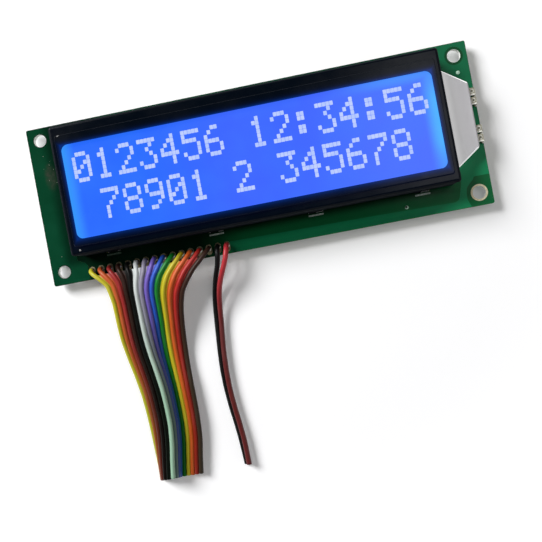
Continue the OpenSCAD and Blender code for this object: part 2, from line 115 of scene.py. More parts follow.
class Nodes:
    """Node tree, with short ways to add nodes and to join them."""

    def __init__(self, tree: bpy.types.NodeTree) -> None:
        """Take hold of a node tree."""
        self.nodes = tree.nodes
        self.links = tree.links

    def add(self, kind: str, **settings: object) -> bpy.types.Node:
        """Add a node.

        Args:
            kind: Blender's name of the node type.
            settings: Attributes to set on it.

        Returns:
            The new node.
        """
        node = self.nodes.new(kind)
        for key, value in settings.items():
            setattr(node, key, value)
        return node

    def put(self, socket: Socket, value: object) -> None:
        """Link a socket to another one, or set its own value.

        Args:
            socket: Input to fill.
            value: An output socket, a number or a colour.
        """
        if isinstance(value, bpy.types.NodeSocket):
            self.links.new(value, socket)
        elif isinstance(value, tuple) and len(value) == 3 and socket.type == "RGBA":
            socket.default_value = (*value, 1)
        else:
            socket.default_value = value

    def split(self, vector: Socket) -> list[Socket]:
        """Take a vector apart.

        Args:
            vector: The vector's socket.

        Returns:
            The sockets of its X, Y and Z.
        """
        node = self.add("ShaderNodeSeparateXYZ")
        self.put(node.inputs[0], vector)
        return list(node.outputs)

    def calc(self, operation: str, first: object, *more: object) -> Socket:
        """Arithmetic on one value, or on several from the left.

        Args:
            operation: Blender's name of the operation.
            first, more: Sockets or numbers.

        Returns:
            The result's socket.
        """
        for second in more or (0.0,):
            node = self.add("ShaderNodeMath", operation=operation)
            self.put(node.inputs[0], first)
            self.put(node.inputs[1], second)
            first = node.outputs[0]
        return first

    def times(self, *values: object) -> Socket:
        """Product of values."""
        return self.calc("MULTIPLY", *values)

    def most(self, *values: object) -> Socket:
        """Largest of values."""
        return self.calc("MAXIMUM", *values)

    def off(self, value: Socket) -> Socket:
        """Size of a value without its sign."""
        return self.calc("ABSOLUTE", value)

    def hypot(self, *parts: Socket) -> Socket:
        """Length of a way, from its parts along the axes."""
        return self.calc("SQRT", self.calc("ADD", *(self.times(part, part) for part in parts)))

    def step(self, value: Socket, start: float, end: float, low: float = 0.0, high: float = 1.0,
             kind: str = "SMOOTHSTEP") -> Socket:
        """Change from low to high while a value goes from start to end.

        Args:
            value: The value that drives it.
            start, end: Where the change starts and ends.
            low, high: Results before and after it.
            kind: Blender's name of the way between them.

        Returns:
            The result's socket.
        """
        node = self.add("ShaderNodeMapRange", interpolation_type=kind)
        for key, given in zip(("Value", "From Min", "From Max", "To Min", "To Max"), (value, start, end, low, high)):
            self.put(node.inputs[key], given)
        return node.outputs[0]

    def seen(self) -> Socket:
        """1 for what the camera sees, straight on, mirrored or through glass, and otherwise 0."""
        paths = self.add("ShaderNodeLightPath").outputs
        return self.most(*(paths[f"Is {kind} Ray"] for kind in ("Camera", "Glossy", "Transmission")))


class Graph(Nodes):
    """Node tree of one material.

    x, y and z are the place in the CAD frame, in millimetres. flat is 1 where the surface faces along Z, and sideways
    is 1 where it faces along X.
    """

    def __init__(self, name: str) -> None:
        """Start a material with one surface shader.

        Args:
            name: Name of the material.
        """
        self.material = bpy.data.materials.new(name)
        self.material.use_nodes = True
        super().__init__(self.material.node_tree)
        self.shader = self.nodes["Principled BSDF"]
        scale = self.add("ShaderNodeVectorMath", operation="SCALE")
        self.links.new(self.add("ShaderNodeTexCoord").outputs["Object"], scale.inputs[0])
        scale.inputs["Scale"].default_value = 1 / MM
        self.place = scale.outputs[0]
        self.x, self.y, self.z = self.split(self.place)
        faced = self.split(self.add("ShaderNodeNewGeometry").outputs["Normal"])
        self.sideways, self.flat = self.off(faced[0]), self.off(faced[2])

    def dress(self, **inputs: object) -> None:
        """Fill inputs of the surface shader, with _ for a space in their names."""
        for key, value in inputs.items():
            self.put(self.shader.inputs[key.replace("_", " ")], value)

    def noise(self, size: float, detail: float = 3, stretch: Point3 = EVEN) -> Socket:
        """Uneven value from 0 to 1.

        Args:
            size: Size of its features in millimetres.
            detail: Number of finer layers.
            stretch: Factors on the place, to draw the features out along an axis.

        Returns:
            The value's socket.
        """
        node = self.add("ShaderNodeTexNoise")
        place = self.place
        if stretch != EVEN:
            scaled = self.add("ShaderNodeVectorMath", operation="MULTIPLY")
            self.put(scaled.inputs[0], place)
            scaled.inputs[1].default_value = stretch
            place = scaled.outputs[0]
        self.put(node.inputs["Vector"], place)
        node.inputs["Scale"].default_value = 1 / size
        node.inputs["Detail"].default_value = detail
        return node.outputs["Fac"]

    def cloud(self, size: float, detail: float = 3, low: float = 0.0, high: float = 1.0) -> Socket:
        """Soft clouds of a size in millimetres, from a low value between them to a high one inside."""
        return self.step(self.noise(size, detail), *SOFT, low, high)

    def mix(self, share: object, first: object, second: object) -> Socket:
        """Blend two colours.

        Args:
            share: Share of the second one.
            first, second: Colours or sockets.

        Returns:
            The blend's socket.
        """
        node = self.add("ShaderNodeMix", data_type="RGBA")
        for index, value in ((0, share), (6, first), (7, second)):
            self.put(node.inputs[index], value)
        return node.outputs[2]

    def bump(self, height: Socket, depth: float, strength: float) -> Socket:
        """Surface direction disturbed by a height.

        Args:
            height: Height from 0 to 1.
            depth: Real depth in millimetres.
            strength: Share of the effect.

        Returns:
            The direction's socket.
        """
        node = self.add("ShaderNodeBump")
        node.inputs["Strength"].default_value = strength
        node.inputs["Distance"].default_value = depth * MM
        self.put(node.inputs["Height"], height)
        return node.outputs[0]


class Finish:
    """A finish that any number of materials can have."""

    def make(self, name: str) -> Material:
        """Build a material with this finish.

        Args:
            name: Name of the material.

        Returns:
            The new material.
        """
        g = Graph(name)
        self.paint(g)
        return g.material

    def paint(self, g: Graph) -> None:
        """Fill a material's graph, each finish in its own way."""
        raise NotImplementedError


@dataclass(frozen=True)
class SolderMask(Finish):
    """Green mask over fibreglass: cloudy tone, painted light and shade, pale dust, pale cut edges, a fine weave
    underneath.
    """

    tone: Colour
    deep: Colour
    # Paler green, painted light where the bezel and the ear shade the board; low gives its share near the strip's top
    # and at the board's edge.
    right: Colour
    low: Span
    # Painted shade along the bezel's left wall and below its lower left corner: its colour and its share.
    wall_shade: Colour = rgb(3, 12, 8)
    painted_shading: float = 0.62
    edge: Colour = rgb(150, 160, 96)
    bore: Colour = rgb(250, 252, 248)
    dust: Colour = rgb(62, 66, 56)
    hole: Point2 = (57.5, 18.5)
    hole_rim: Span = (2.4, 2.2)
    smudge: Point2 = (-56.4, 8.0)
    smudge_half: Point2 = (1.6, 3.6)
    smudge_fade: Span = (1.3, 0.3)
    smudge_z: Span = (3.0, 3.4)
    # Where the painted light at the right end and along the bottom strip lies, and how strong it is.
    painted_light_x: Span = (38, 57)
    painted_light_y: Span = (18, -4)
    painted_light_share: Span = (0.3, 1.0)
    painted_strip_x: Span = (-20, -5)
    painted_strip_y: Span = (-15, -18)
    painted_strip_edge_y: Span = (-19, -21.8)
    # Where that painted shade spreads out from the bezel's left wall, and where it stops.
    wall_shade_x: Span = (-58.2, -54.7)
    wall_shade_stop_x: Span = (-38, -46)
    wall_shade_stop_y: Span = (-18.8, -15.8)

    def paint(self, g: Graph) -> None:
        """Fill a material's graph.

        Args:
            g: The graph.
        """
        base = g.mix(g.cloud(9, 4), self.deep, self.tone)
        # Painted light: paler green at the lower right end and along the bottom strip, where the bezel and the ear
        # shade the board.
        end = g.times(g.step(g.x, *self.painted_light_x), g.step(g.y, *self.painted_light_y, *self.painted_light_share))
        border = g.times(g.step(g.y, *self.painted_strip_y), g.step(g.y, *self.painted_strip_edge_y, *self.low))
        base = g.mix(g.most(end, g.times(g.step(g.x, *self.painted_strip_x), border)), base, self.right)
        # Painted shade: darker along the bezel's left wall and below its lower left corner.
        wall = g.times(g.step(g.x, *self.wall_shade_x, 0.0, self.painted_shading), g.step(g.x, *self.wall_shade_stop_x))
        base = g.mix(g.times(wall, g.step(g.y, *self.wall_shade_stop_y)), base, self.wall_shade)
        parts = (g.calc("DIVIDE", g.calc("SUBTRACT", way, middle), half)
                 for way, middle, half in zip((g.x, g.y), self.smudge, self.smudge_half))
        patch = g.times(g.step(g.hypot(*parts), *self.smudge_fade), g.step(g.z, *self.smudge_z))
        base = g.mix(g.times(patch, g.step(g.noise(1.1, 4), 0.4, 0.65, 0.35, 0.85)), base, self.dust)
        near = g.hypot(*(g.calc("SUBTRACT", g.off(way), middle) for way, middle in zip((g.x, g.y), self.hole)))
        cut = g.mix(g.step(near, *self.hole_rim), self.edge, self.bore)
        g.dress(Base_Color=g.mix(g.step(g.flat, 0.4, 0.6), cut, base), Specular_IOR_Level=0.05)
        weave = g.times(g.noise(0.35, 1, (1, 0.2, 1)), g.noise(0.35, 1, (0.2, 1, 1)))
        g.dress(Roughness=g.cloud(3, 3, 0.15, 0.22), Normal=g.bump(weave, 0.01, 0.2))


@dataclass(frozen=True)
class Tin(Finish):
    """Tinned or soldered metal, a little dull and uneven."""

    tone: Colour = rgb(222, 216, 200)
    dull: Colour = rgb(190, 180, 156)
    rough: float = 0.34
    metal: float = 1.0

    def paint(self, g: Graph) -> None:
        """Fill a material's graph.

        Args:
            g: The graph.
        """
        g.dress(Base_Color=g.mix(g.step(g.noise(0.6), *CLEAR), self.tone, self.dull), Metallic=self.metal)
        g.dress(Roughness=g.cloud(0.4, 2, self.rough - 0.08, self.rough + 0.14))
        g.dress(Normal=g.bump(g.noise(0.5, 2), 0.05, 0.5))


@dataclass(frozen=True)
class BezelPaint(Finish):
    """Satin black stamped steel: faint rubbing on dull folds, spots painted as glints, a painted glow by the window.

    window holds the ends of the screen's window sideways, up and down from its middle, and fade how fast the painted
    glow fades past each.
    """

    tone: Colour = rgb(2, 8, 18)
    rub: Colour = rgb(10, 14, 20)
    # This pale colour and the spots below are painted glints at the corners of the raised face.
    bare: Colour = rgb(150, 150, 148)
    # Blue glow of the screen painted onto the bezel near its window, and its strength.
    painted_window_glow: Colour = (0.0, 0.12, 1.0)
    painted_window_glow_level: float = 0.17
    fade: Point3 = (0.4, 0.36, 0.62)
    window: Point3 = (49.3, 12.65, 12.65)
    window_y: float = 1.5
    glint_spots: tuple[Point2, ...] = ((-49.46, 16.78), (-49.35, -14.0))
    glint_rim: Span = (0.36, 0.14)

    def paint(self, g: Graph) -> None:
        """Fill a material's graph.

        Args:
            g: The graph.
        """
        fold = g.times(g.step(g.flat, 0.25, 0.6), g.step(g.flat, 0.98, 0.8))
        colour = g.mix(g.times(fold, g.step(g.noise(2.5, 4), 0.4, 0.7)), self.tone, self.rub)
        # Painted glints: pale spots at the corners of the raised face.
        for spot in self.glint_spots:
            reach = g.hypot(*(g.calc("SUBTRACT", way, middle) for way, middle in zip((g.x, g.y), spot)))
            colour = g.mix(g.step(reach, *self.glint_rim), colour, self.bare)
        g.dress(Base_Color=colour, Specular_IOR_Level=0.16)
        g.dress(Roughness=g.most(g.cloud(5, 5, 0.17, 0.25), g.step(g.flat, 0.99, 0.9, 0.0, 0.85)))
        up = g.calc("SUBTRACT", g.y, self.window_y)
        past = (g.calc("DIVIDE", g.calc("SUBTRACT", way, end), fade)
                for way, end, fade in zip((g.off(g.x), up, g.times(up, -1.0)), self.window, self.fade))
        # Painted light: blue glow fading away from the window's edges.
        light = g.times(g.calc("POWER", math.exp(-1), g.most(0.0, *past)), self.painted_window_glow_level)
        g.dress(Emission_Color=self.painted_window_glow, Emission_Strength=light, Normal=g.bump(g.noise(0.25), 0.004, 0.2))


@dataclass(frozen=True)
class LitField(Finish):
    """Blue lit screen: paler and more cyan towards its ends, with painted shade along its border."""

    middle: Colour = rgb(60, 98, 250)
    left: Colour = rgb(38, 102, 248)
    right: Colour = rgb(74, 108, 250)
    left_glow: Colour = rgb(57, 151, 250)
    right_glow: Colour = rgb(80, 178, 252)
    # Colour of the painted shade along the border, where the bezel's window edge shades the film.
    border: Colour = rgb(16, 30, 96)
    unlit: Colour = rgb(20, 34, 90)
    half: Point2 = (49.9, 13.1)
    centre_y: float = 1.5
    left_x: Span = (0, -32)
    right_x: Span = (6, 40)
    left_end: Span = (-45.6, -49.7)
    right_end: Span = (45.2, 49.2)
    right_tall: Span = (4.5, 11.5)
    upper_x: Span = (20, 40)
    upper_y: Span = (9.5, 12.3)

    def paint(self, g: Graph) -> None:
        """Fill a material's graph.

        Args:
            g: The graph.
        """
        y = g.calc("SUBTRACT", g.y, self.centre_y)
        glow = g.mix(g.step(g.x, *self.left_x), self.middle, self.left)
        glow = g.mix(g.step(g.x, *self.right_x), glow, self.right)
        glow = g.mix(g.step(g.x, *self.left_end), glow, self.left_glow)
        end = g.times(g.step(g.x, *self.right_end), g.step(g.off(y), *self.right_tall, 1.0, 0.5))
        upper = g.times(g.step(g.x, *self.upper_x), g.step(y, *self.upper_y, 0.0, 0.4))
        glow = g.mix(g.most(end, upper), glow, self.right_glow)
        glow = g.mix(g.cloud(12, 2, 0.0, 0.1), glow, self.left_glow)
        room = g.calc("MINIMUM", *(g.calc("SUBTRACT", half, g.off(way)) for half, way in zip(self.half, (g.x, y))))
        # Painted shade: the glow darkens within 0.3 mm of the border.
        glow = g.mix(g.step(room, 0.0, 0.3), self.border, glow)
        g.dress(Base_Color=self.unlit, Specular_IOR_Level=0.08, Emission_Color=glow, Emission_Strength=1.0)
        g.dress(Roughness=g.cloud(6, 3, 0.22, 0.32), Normal=g.bump(g.noise(0.3, 2), 0.01, 0.15))


@dataclass(frozen=True)
class Dot(Finish):
    """Lit dot of the screen, a little uneven from place to place."""

    tone: Colour = rgb(177, 190, 250)
    dim: Colour = rgb(159, 178, 250)
    unlit: Colour = rgb(90, 100, 140)

    def paint(self, g: Graph) -> None:
        """Fill a material's graph."""
        g.dress(Base_Color=self.unlit, Roughness=0.3, Specular_IOR_Level=0.08, Emission_Strength=1.0)
        g.dress(Emission_Color=g.mix(g.step(g.noise(1.4, 2), *CLEAR), self.dim, self.tone))


@dataclass(frozen=True)
class Moulded(Finish):
    """White moulded plastic with a fine grain, slanted edges painted paler as highlights, and a painted glow by the
    bezel.
    """

    tone: Colour = rgb(197, 195, 198)
    shade: Colour = rgb(190, 189, 192)
    # Paler tone of the slanted edges, a painted highlight.
    edge_highlight: Colour = rgb(246, 248, 248)
    rough: float = 0.5
    # Painted glow: strongest next to the bezel, where it lifts the bezel's shadow on the ear, and on the slanted
    # edges.
    painted_ear_glow: float = 0.385
    painted_ear_glow_x: Span = (58, 52.8)
    painted_edge_glow: float = 0.5
    ear_x: Span = (30, 45)

    def paint(self, g: Graph) -> None:
        """Fill a material's graph.

        Args:
            g: The graph.
        """
        turn = g.times(g.step(g.flat, 0.2, 0.4), g.step(g.flat, 0.95, 0.85), g.step(g.sideways, 0.66, 0.54))
        g.dress(Base_Color=g.mix(turn, g.mix(g.cloud(8, 4), self.tone, self.shade), self.edge_highlight))
        # Painted light: glow next to the bezel and on the slanted edges, only on the ear.
        glow = g.most(g.step(g.x, *self.painted_ear_glow_x, 0.0, self.painted_ear_glow), g.times(turn, self.painted_edge_glow))
        g.dress(Emission_Color=WHITE, Emission_Strength=g.times(glow, g.step(g.x, *self.ear_x)))
        g.dress(Roughness=g.cloud(1.5, 3, self.rough - 0.06, self.rough + 0.08))
        g.dress(Normal=g.bump(g.noise(0.18, 2), 0.012, 0.4))


@dataclass(frozen=True)
class Coated(Finish):
    """Plain dense material such as film, glass edge, rubber, resin or ceramic, with its own grain."""

    tone: Colour
    shade: Colour
    rough: float
    grain: float = 0.6
    depth: float = 0.02
    stretch: Point3 = EVEN

    def paint(self, g: Graph) -> None:
        """Fill a material's graph.

        Args:
            g: The graph.
        """
        grain = g.noise(self.grain, 3, self.stretch)
        g.dress(Base_Color=g.mix(g.step(grain, *CLEAR), self.tone, self.shade))
        g.dress(Roughness=g.step(grain, *SOFT, self.rough - 0.05, self.rough + 0.1))
        g.dress(Normal=g.bump(grain, self.depth, 0.4))


@dataclass(frozen=True)
class Vinyl(Finish):
    """Wire insulation, rubbed along its length, with painted light and shade changing its tone towards the cut end."""

    tone: Colour
    # Colour towards the cut end, painted light and shade; turn is the stretch of Y over which it changes.
    painted_shading: Colour
    turn: Span = (-26, -62)
    bloom: float = 0.014
    rough: float = 0.38
    gloss: float = 0.3

    def paint(self, g: Graph) -> None:
        """Fill a material's graph.

        Args:
            g: The graph.
        """
        streak = g.step(g.noise(0.9, 4, (1, 0.12, 1)), 0.4, 0.8, 0.0, self.bloom)
        # Painted light and shade: the tone changes along Y towards the cut end.
        colour = g.mix(g.step(g.y, *self.turn), self.tone, self.painted_shading)
        g.dress(Base_Color=g.mix(streak, colour, WHITE), Specular_IOR_Level=self.gloss)
        g.dress(Roughness=g.cloud(0.7, 3, self.rough - 0.06, self.rough + 0.1))
        g.dress(Normal=g.bump(g.noise(0.35, 3, (1, 0.3, 1)), 0.03, 0.4))


@dataclass(frozen=True)
class FloorWhite(Finish):
    """Pale floor, white where no shadow falls, painted shade under the board, painted light seen through its upper
    holes.
    """

    tone: Colour = rgb(250, 250, 251)
    far: Span = (70, 260)
    near_glow: float = 0.12
    board: Point2 = (55, 19)
    board_fade: float = 3.0
    # Share of the floor's glow left under the board, a painted shade.
    under: float = 0.12
    inside_x: Span = (61.2, 60.8)
    inside_y: Span = (22.2, 21.8)
    # Painted light on the floor under the board's upper part, seen through its two upper holes.
    hole_light: float = 0.15
    hole_light_y: Span = (12, 14)

    def paint(self, g: Graph) -> None:
        """Fill a material's graph.

        Args:
            g: The graph.
        """
        g.dress(Base_Color=self.tone, Roughness=0.9, Specular_IOR_Level=0.0, Emission_Color=WHITE)
        # Painted shade: the glow drops under the board's outline.
        past = (g.step(g.off(way), edge - self.board_fade, edge, self.under, 1.0)
                for way, edge in zip((g.x, g.y), self.board))
        glow = g.times(g.step(g.hypot(g.x, g.y), *self.far, self.near_glow, 1.0), g.most(*past))
        # Painted light: a brighter band of floor inside the board's outline, under its upper holes.
        inside = g.times(g.step(g.off(g.x), *self.inside_x), g.step(g.y, *self.inside_y))
        hole_light = g.times(inside, g.step(g.y, *self.hole_light_y, 0.0, self.hole_light))
        g.dress(Emission_Strength=g.times(g.seen(), g.calc("ADD", glow, hole_light)))


def add_piece(name: str, mesh: bpy.types.Mesh, materials: Sequence[Material]) -> bpy.types.Object:
    """Put a finished mesh into the scene as a piece that rides on the module.

    Args:
        name: Name of the piece.
        mesh: Its mesh, in place in the CAD frame.
        materials: Its materials, in the order of the faces' indices.

    Returns:
        The new object.
    """
    piece = bpy.data.objects.new(name, mesh)
    bpy.context.scene.collection.objects.link(piece)
    for material in materials:
        mesh.materials.append(material)
    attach(piece, "root")
    LOG.info("%s: %d faces", name, len(mesh.polygons))
    return piece


def dress(finish: Finish, *nodes: str, name: str = "") -> None:
    """Give carried-over CAD nodes a finish, each in a material of its own.

    Args:
        finish: Their new finish.
        nodes: Names of the nodes.
        name: Name of the material, where it isn't the node's.
    """
    for node in nodes:
        material = finish.make(name or node)
        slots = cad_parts[node].data.materials
        slots.clear()
        slots.append(material)
        LOG.info("%s dressed as %s", node, material.name)


def close_mesh(bm: bmesh.types.BMesh, name: str) -> bpy.types.Mesh:
    """Turn faces outwards and make a mesh of them.

    Args:
        bm: The faces, which are given up.
        name: Name of the mesh.

    Returns:
        The finished mesh.
    """
    bmesh.ops.recalc_face_normals(bm, faces=bm.faces)
    mesh = bpy.data.meshes.new(name)
    bm.to_mesh(mesh)
    bm.free()
    return mesh


def rounded(x0: float, y0: float, x1: float, y1: float, radius: float, steps: int = 5) -> list[Point2]:
    """Outline of a rectangle with round corners.

    Args:
        x0, y0, x1, y1: Its lowest and highest corner.
        radius: Corner radius.
        steps: Points on each corner.

    Returns:
        The points, counter-clockwise.
    """
    points = []
    for cx, cy, turn in ((x1 - radius, y0 + radius, -90), (x1 - radius, y1 - radius, 0),
                         (x0 + radius, y1 - radius, 90), (x0 + radius, y0 + radius, 180)):
        for i in range(steps):
            angle = math.radians(turn + 90 * i / (steps - 1))
            points.append((cx + radius * math.cos(angle), cy + radius * math.sin(angle)))
    return points


def circle(x: float, y: float, radius: float, sides: int = 24) -> list[Point2]:
    """Points of a circle in plan, counter-clockwise round its middle."""
    turns = [math.tau * i / sides for i in range(sides)]
    return [(x + radius * math.cos(turn), y + radius * math.sin(turn)) for turn in turns]


def smooth_path(points: Sequence[Vector], steps: int) -> list[Vector]:
    """Curve through points, with a few places on each stretch.

    Args:
        points: Points that it passes through.
        steps: Places on each stretch.

    Returns:
        The curve's points, the last one included.
    """
    path = []
    padded = [points[0] * 2 - points[1], *points, points[-1] * 2 - points[-2]]
    for a, b, c, d in zip(padded, padded[1:], padded[2:], padded[3:]):
        for i in range(steps):
            t = i / steps
            path.append(0.5 * (2 * b + (c - a) * t + (2 * a - 5 * b + 4 * c - d) * t ** 2
                               + (3 * b - a - 3 * c + d) * t ** 3))
    return [*path, points[-1]]


class MeshMaker:
    """Gathers the faces of one piece, in millimetres, and turns them into a mesh."""

    def __init__(self) -> None:
        """Start with no faces."""
        self.bm = bmesh.new()

    def plate(self, loops: Sequence[Sequence[Point2]], low: float, high: float, index: int = 0) -> None:
        """Add a flat plate with any number of openings.

        Args:
            loops: The outline, then the openings, each as points in plan.
            low, high: Heights of its two faces.
            index: Material index.
        """
        for level in (low, high):
            edges = []
            for loop in loops:
                ring = [self.bm.verts.new((x * MM, y * MM, level * MM)) for x, y in loop]
                edges += [self.bm.edges.new((a, b)) for a, b in zip(ring, ring[1:] + ring[:1])]
            made = bmesh.ops.triangle_fill(self.bm, edges=edges, use_beauty=True)
            for item in made["geom"]:
                if isinstance(item, bmesh.types.BMFace):
                    item.material_index = index
        for loop in loops:
            for (x0, y0), (x1, y1) in zip(loop, [*loop[1:], loop[0]]):
                wall = [self.bm.verts.new((x * MM, y * MM, z * MM))
                        for x, y, z in ((x0, y0, low), (x1, y1, low), (x1, y1, high), (x0, y0, high))]
                self.bm.faces.new(wall).material_index = index

    def lathe(self, centre: Point2, profile: Sequence[Point2], sides: int = 20, index: int = 0) -> None:
        """Add a turned form round an upright axis.

        Args:
            centre: Place of the axis in plan.
            profile: Radius and height of each ring; a radius of 0 closes an end.
            sides: Number of sides.
            index: Material index.
        """
        rings = []
        for radius, height in profile:
            ring = circle(*centre, radius, sides) if radius > 0 else [centre]
            rings.append([self.bm.verts.new((x * MM, y * MM, height * MM)) for x, y in ring])
        for a, b in zip(rings, rings[1:]):
            for i in range(sides):
                corners = [a[i % len(a)], a[(i + 1) % len(a)], b[(i + 1) % len(b)], b[i % len(b)]]
                face = self.bm.faces.new(list(dict.fromkeys(corners)))
                face.material_index = index
                face.smooth = True

    def finish(self, name: str) -> bpy.types.Mesh:
        """Join what meets and return the mesh under a name."""
        bmesh.ops.remove_doubles(self.bm, verts=self.bm.verts, dist=1e-7)
        return close_mesh(self.bm, name)


@dataclass
class Wire:
    """One insulated wire from its pad to its cut end, with a tinned start and a bare copper core."""

    node: str
    points: list[Vector]
    diameter: float
    finish: Vinyl
    sides: int = 18
    steps: int = 5
    strip: float = 0.45
    core: float = 0.58
    core_tip: float = 0.5
    core_in: float = 0.06
    cut_edge: float = 0.94
    cut_in: float = 0.08

    def path(self) -> list[Vector]:
        """Centreline in metres."""
        return [point * MM for point in smooth_path(self.points, self.steps)]

    def build(self, tin: Material, copper: Material) -> Material:
        """Args:
            tin: Material of the stripped start.
            copper: Material of the core at the cut end.

        Returns:
            The material of its insulation.
        """
        path = self.path()
        bm = bmesh.new()
        rings, marks = self._rings(path)
        loops = [[bm.verts.new(point) for point in ring] for ring in rings]
        for (a, b), mark in zip(zip(loops, loops[1:]), marks):
            for i in range(self.sides):
                j = (i + 1) % self.sides
                face = bm.faces.new((a[i], a[j], b[j], b[i]))
                face.material_index = mark
                face.smooth = True
        bm.faces.new(loops[0][::-1]).material_index = WirePart.TIN
        bm.faces.new(loops[-1]).material_index = WirePart.CORE
        skin = self.finish.make("vinyl_" + self.node)
        piece = add_piece("lead_" + self.node, close_mesh(bm, self.node), (skin, tin, copper))
        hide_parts(self.node)
        return skin

    def _rings(self, path: list[Vector]) -> tuple[list[list[Vector]], list[int]]:
        """Cross-sections along the wire, and the material of the stretch after each.

        Args:
            path: Centreline in metres.

        Returns:
            The rings' points and the material indices.
        """
        radius = self.diameter / 2 * MM
        core = radius * self.core
        cut = ((radius, -self.cut_in * MM, WirePart.SKIN), (radius * self.cut_edge, 0.0, WirePart.SKIN),
               (core, 0.0, WirePart.SKIN), (core, -self.core_in * MM, WirePart.CORE),
               (core * self.core_tip, 0.0, WirePart.CORE))
        rings, marks = [], []
        side = Vector((1, 0, 0))
        gone = 0.0
        last = len(path) - 1
        for i, point in enumerate(path):
            along = (path[min(i + 1, last)] - path[max(i - 1, 0)]).normalized()
            side = (side - along * side.dot(along)).normalized()
            other = along.cross(side)
            gone += (point - path[i - 1]).length if i else 0.0
            plain = (core, 0.0, WirePart.TIN) if gone < self.strip * MM else (radius, 0.0, WirePart.SKIN)
            for reach, shift, mark in cut if i == last else (plain,):
                rings.append([point + along * shift + (side * x + other * y) * reach
                              for x, y in circle(0.0, 0.0, 1.0, self.sides)])
                marks.append(mark)
        return rings, marks


